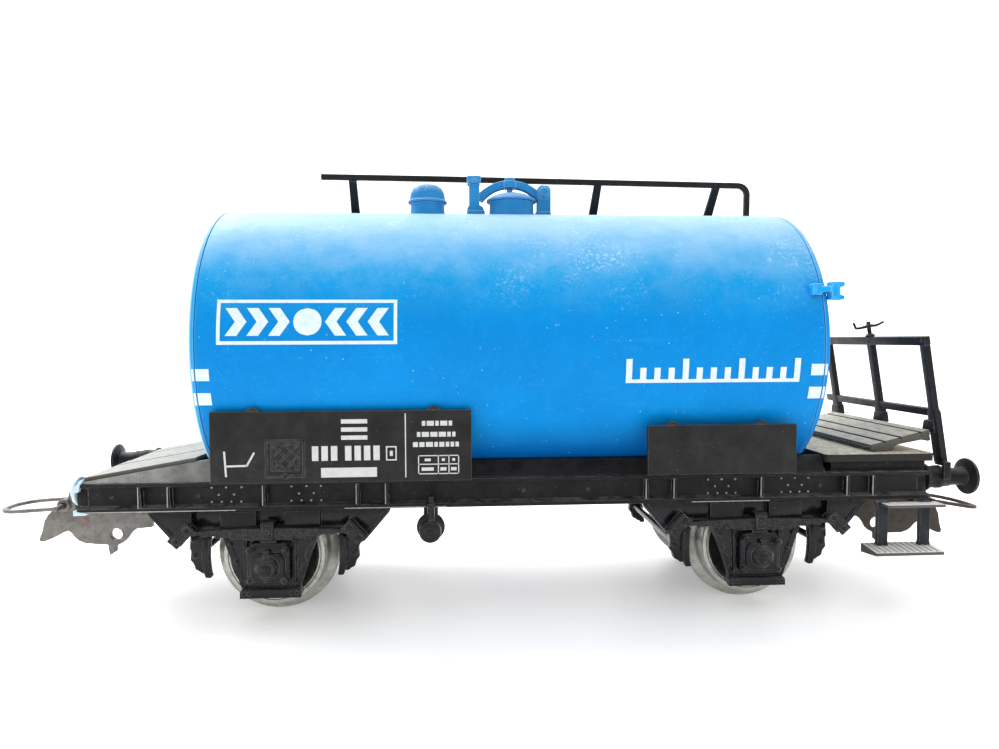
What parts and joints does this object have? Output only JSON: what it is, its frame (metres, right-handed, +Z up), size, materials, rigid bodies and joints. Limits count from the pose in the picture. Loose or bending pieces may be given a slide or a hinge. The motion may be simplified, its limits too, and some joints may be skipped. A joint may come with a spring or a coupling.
{
  "type": "model tank wagon",
  "caption": "Two-axle model railway tank wagon with a cylindrical tank, brakeman's platform, side boards and hook-and-loop couplings.",
  "frame": {"origin": "on the table under the middle of the wagon, at the height of the wheel flanges", "axes": "+X along the wagon to the end with the brakeman's platform, +Y to the side with the walkway, +Z up"},
  "size_m": [0.1165, 0.0317, 0.0497],
  "materials": {
    "tank_plastic": "semi-matt blue, moulded",
    "frame_plastic": "satin black, moulded",
    "deck_plastic": "matt grey planks, dusty",
    "wheel_metal": "dull turned metal",
    "coupling_steel": "blackened sheet steel, worn",
    "ballast_iron": "raw, hidden in the tank"
  },
  "bodies": {
    "frame": {"axle_guard_left_far": "frame_plastic", "axle_guard_left_near": "frame_plastic", "axle_guard_right_far": "frame_plastic", "axle_guard_right_near": "frame_plastic", "ballast_weight": "ballast_iron", "board_large_far": "frame_plastic", "board_large_near": "frame_plastic", "board_small_far": "frame_plastic", "board_small_near": "frame_plastic", "brake_inner_left": "frame_plastic", "brake_inner_right": "frame_plastic", "brake_outer_left": "frame_plastic", "brake_outer_right": "frame_plastic", "brake_spindle": "frame_plastic", "brakeman_platform": "deck_plastic", "buffer_left_far": "frame_plastic", "buffer_left_near_stub": "frame_plastic", "buffer_right_far": "frame_plastic", "buffer_right_near": "frame_plastic", "coupling_pin_left": "coupling_steel", "coupling_pin_right": "coupling_steel", "cradle": "frame_plastic", "drain_valve_far": "frame_plastic", "drain_valve_near": "frame_plastic", "end_railing": "frame_plastic", "ladder": "frame_plastic", "lamp_bracket": "tank_plastic", "leaf_spring_left_far": "frame_plastic", "leaf_spring_left_near": "frame_plastic", "leaf_spring_right_far": "frame_plastic", "leaf_spring_right_near": "frame_plastic", "left_deck": "deck_plastic", "left_ramp": "frame_plastic", "manhole_lid": "tank_plastic", "manhole_screw": "tank_plastic", "manhole_yoke": "tank_plastic", "right_floor": "frame_plastic", "step_right_far": "frame_plastic", "step_right_near": "frame_plastic", "tank_end_left": "tank_plastic", "tank_end_right": "tank_plastic", "tank_screw_left": "coupling_steel", "tank_screw_right": "coupling_steel", "tank_shell": "tank_plastic", "top_railing": "frame_plastic", "top_walkway": "frame_plastic", "underframe": "frame_plastic", "valve_dome": "tank_plastic"},
    "wheelset_left": {"axle_left": "coupling_steel", "wheel_left_near": "wheel_metal", "wheel_left_far": "wheel_metal"},
    "wheelset_right": {"axle_right": "coupling_steel", "wheel_right_near": "wheel_metal", "wheel_right_far": "wheel_metal"},
    "hook_left": {"coupling_left": "coupling_steel"},
    "hook_right": {"coupling_right": "coupling_steel"},
    "loop_left": {"coupling_loop_left": "coupling_steel"},
    "loop_right": {"coupling_loop_right": "coupling_steel"}
  },
  "joints": [
    {"name": "wheelset_spin_left", "type": "hinge", "parent": "frame", "child": "wheelset_left", "pos_m": [-0.0256, 0, 0.0065], "axis": [0, 1, 0], "continuous": true},
    {"name": "coupling_swivel_left", "type": "hinge", "parent": "frame", "child": "hook_left", "pos_m": [-0.0406, 0, 0.0101], "axis": [0, 0, 1], "range_deg": [-15, 15]},
    {"name": "loop_lift_left", "type": "hinge", "parent": "hook_left", "child": "loop_left", "pos_m": [-0.0514, 0, 0.0102], "axis": [0, 1, 0], "range_deg": [0, 35]},
    {"name": "wheelset_spin_right", "type": "hinge", "parent": "frame", "child": "wheelset_right", "pos_m": [0.0256, 0, 0.0065], "axis": [0, 1, 0], "continuous": true},
    {"name": "coupling_swivel_right", "type": "hinge", "parent": "frame", "child": "hook_right", "pos_m": [0.0406, 0, 0.0101], "axis": [0, 0, 1], "range_deg": [-15, 15]},
    {"name": "loop_lift_right", "type": "hinge", "parent": "hook_right", "child": "loop_right", "pos_m": [0.05136, 0, 0.00926], "axis": [0, -1, 0], "range_deg": [0, 35]}
  ]
}
